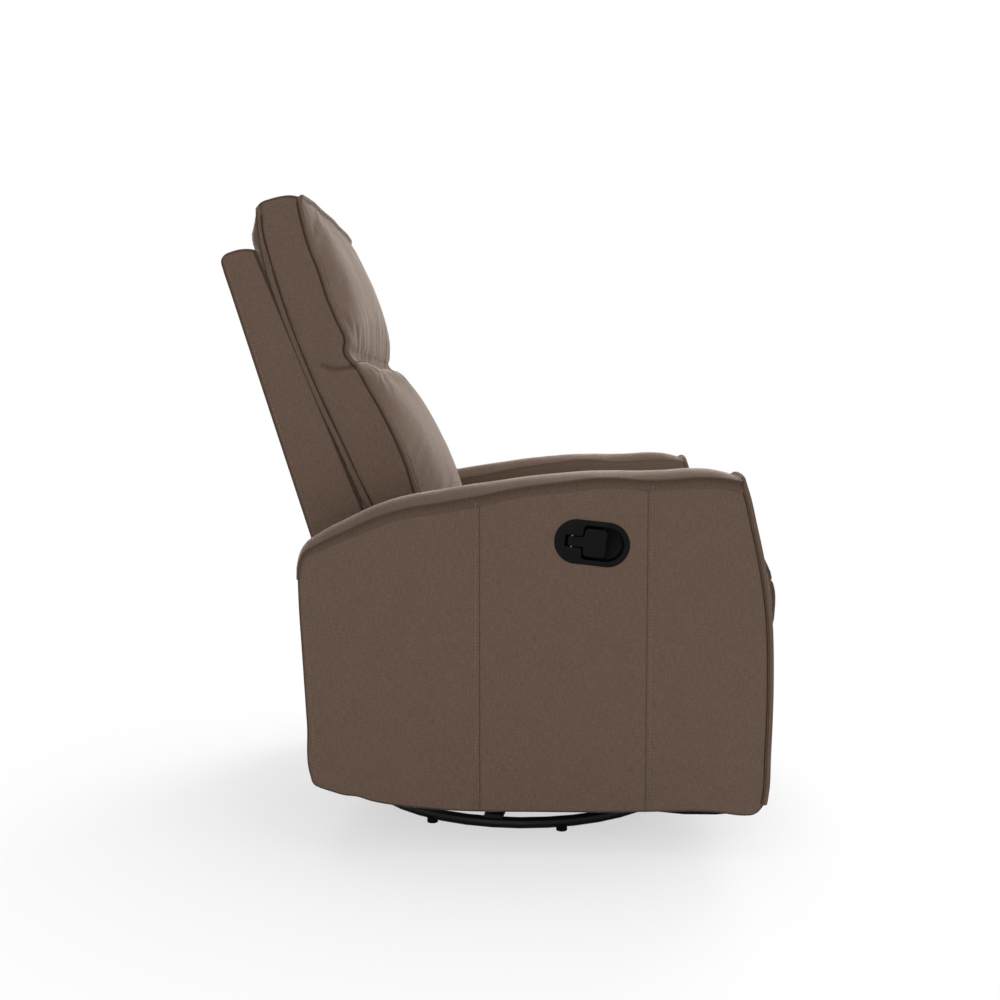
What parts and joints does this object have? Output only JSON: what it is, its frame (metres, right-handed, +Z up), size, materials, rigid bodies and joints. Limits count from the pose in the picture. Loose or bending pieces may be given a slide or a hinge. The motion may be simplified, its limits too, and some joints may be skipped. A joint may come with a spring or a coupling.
{
  "type": "swivel glider recliner",
  "caption": "Upholstered armchair on a round swivel base that glides to and fro, with a push-back backrest and a footrest that folds out on a lazy-tongs linkage.",
  "frame": {"origin": "middle of the box of the whole chair at the floor, at rest", "axes": "+X forwards, +Y to the left of the sitter, +Z up"},
  "size_m": [0.8824, 0.764, 1.0424],
  "materials": {
    "fabric": "taupe brown woven polyester, matt",
    "black_steel": "black powder coat, low sheen",
    "zinc_steel": "bright zinc plate",
    "spring_steel": "oiled spring wire",
    "wood": "bare hardwood and board",
    "black_plastic": "fine textured black moulding"
  },
  "bodies": {
    "base": {"base_ring": "black_steel", "base_cross": "black_steel", "floor_glide_1": "black_plastic", "floor_glide_2": "black_plastic", "floor_glide_3": "black_plastic", "floor_glide_4": "black_plastic", "floor_glide_5": "black_plastic", "floor_glide_6": "black_plastic", "floor_glide_7": "black_plastic", "floor_glide_8": "black_plastic", "swivel_lower_race": "zinc_steel", "swivel_kingpin": "zinc_steel", "swivel_ball_cage": "zinc_steel"},
    "turntable": {"swivel_upper_race": "zinc_steel", "turntable_front_tube": "black_steel", "turntable_rear_tube": "black_steel", "glide_post_left": "black_steel", "glide_post_right": "black_steel"},
    "rear_links": {"glide_link_rear_left": "black_steel", "glide_link_rear_right": "black_steel"},
    "front_links": {"glide_link_front_left": "black_steel", "glide_link_front_right": "black_steel"},
    "carriage": {"side_plate_left": "black_steel", "side_plate_right": "black_steel", "glide_hanger_left": "black_steel", "glide_hanger_right": "black_steel", "carriage_front_tube": "black_steel", "carriage_rear_tube": "black_steel", "seat_front_rail": "wood", "seat_rear_rail": "wood", "seat_springs": "spring_steel", "seat_cushion": "fabric", "arm_body_left": "fabric", "arm_body_right": "fabric", "arm_pad_left": "fabric", "arm_pad_right": "fabric", "arm_skid_left": "black_plastic", "arm_skid_right": "black_plastic", "rear_rail": "fabric", "handle_bezel": "black_plastic", "handle_pin": "zinc_steel"},
    "back": {"back_frame": "fabric", "back_cushion": "fabric", "back_bar_left": "black_steel", "back_bar_right": "black_steel"},
    "drive_links": {"drive_link_left": "black_steel", "drive_link_right": "black_steel", "torque_tube": "black_steel"},
    "follower_links": {"follower_link_left": "black_steel", "follower_link_right": "black_steel"},
    "carrier_links": {"carrier_link_left": "black_steel", "carrier_link_right": "black_steel"},
    "steady_links": {"steady_link_left": "black_steel", "steady_link_right": "black_steel"},
    "footrest": {"footrest_bracket_left": "black_steel", "footrest_bracket_right": "black_steel", "footrest_board": "wood", "footrest_pad": "fabric"},
    "release_handle": {"handle_paddle": "black_plastic"}
  },
  "joints": [
    {"name": "swivel", "type": "hinge", "parent": "base", "child": "turntable", "pos_m": [0.02845, 0.002, 0], "axis": [0, 0, 1], "continuous": true},
    {"name": "glide", "type": "hinge", "parent": "turntable", "child": "rear_links", "pos_m": [-0.13327, 0.002, 0.28], "axis": [0, -1, 0], "range_deg": [-18, 10.8]},
    {"name": "front_link_swing", "type": "hinge", "parent": "turntable", "child": "front_links", "pos_m": [0.13416, 0.002, 0.28], "axis": [0, -1, 0], "range_deg": [-19.2, 11.6]},
    {"name": "carriage_tilt", "type": "hinge", "parent": "rear_links", "child": "carriage", "pos_m": [-0.08955, 0.002, 0.11], "axis": [0, -1, 0], "range_deg": [-17, 28.3]},
    {"name": "recline", "type": "hinge", "parent": "carriage", "child": "back", "pos_m": [-0.19356, 0.002, 0.309], "axis": [0, -1, 0], "range_deg": [0, 32]},
    {"name": "footrest_drive", "type": "hinge", "parent": "carriage", "child": "drive_links", "pos_m": [0.28645, 0.002, 0.27], "axis": [0, -1, 0], "range_deg": [0, 95]},
    {"name": "follower_swing", "type": "hinge", "parent": "carriage", "child": "follower_links", "pos_m": [0.33944, 0.002, 0.306], "axis": [0, -1, 0], "range_deg": [0, 95.5]},
    {"name": "carrier_swing", "type": "hinge", "parent": "drive_links", "child": "carrier_links", "pos_m": [0.22967, 0.002, 0.11401], "axis": [0, -1, 0], "range_deg": [-95.5, 0]},
    {"name": "steady_swing", "type": "hinge", "parent": "follower_links", "child": "steady_links", "pos_m": [0.28267, 0.002, 0.10001], "axis": [0, -1, 0], "range_deg": [-95.5, 0]},
    {"name": "footrest_tilt", "type": "hinge", "parent": "carrier_links", "child": "footrest", "pos_m": [0.36445, 0.002, 0.262], "axis": [0, -1, 0], "range_deg": [0, 95.5]},
    {"name": "release", "type": "hinge", "parent": "carriage", "child": "release_handle", "pos_m": [0.10613, -0.376, 0.4834], "axis": [-0.1115, 0, -0.9938], "range_deg": [0, 30], "stiffness_Nm_per_rad": 0.6, "springref_deg": -11.46}
  ],
  "couplings": [
    {"joint": "front_link_swing", "follows": "glide", "ratio": 1.0561},
    {"joint": "carriage_tilt", "follows": "glide", "ratio": -1.529},
    {"joint": "follower_swing", "follows": "footrest_drive", "ratio": 1},
    {"joint": "carrier_swing", "follows": "footrest_drive", "ratio": -1},
    {"joint": "steady_swing", "follows": "footrest_drive", "ratio": -1},
    {"joint": "footrest_tilt", "follows": "footrest_drive", "ratio": 1}
  ]
}
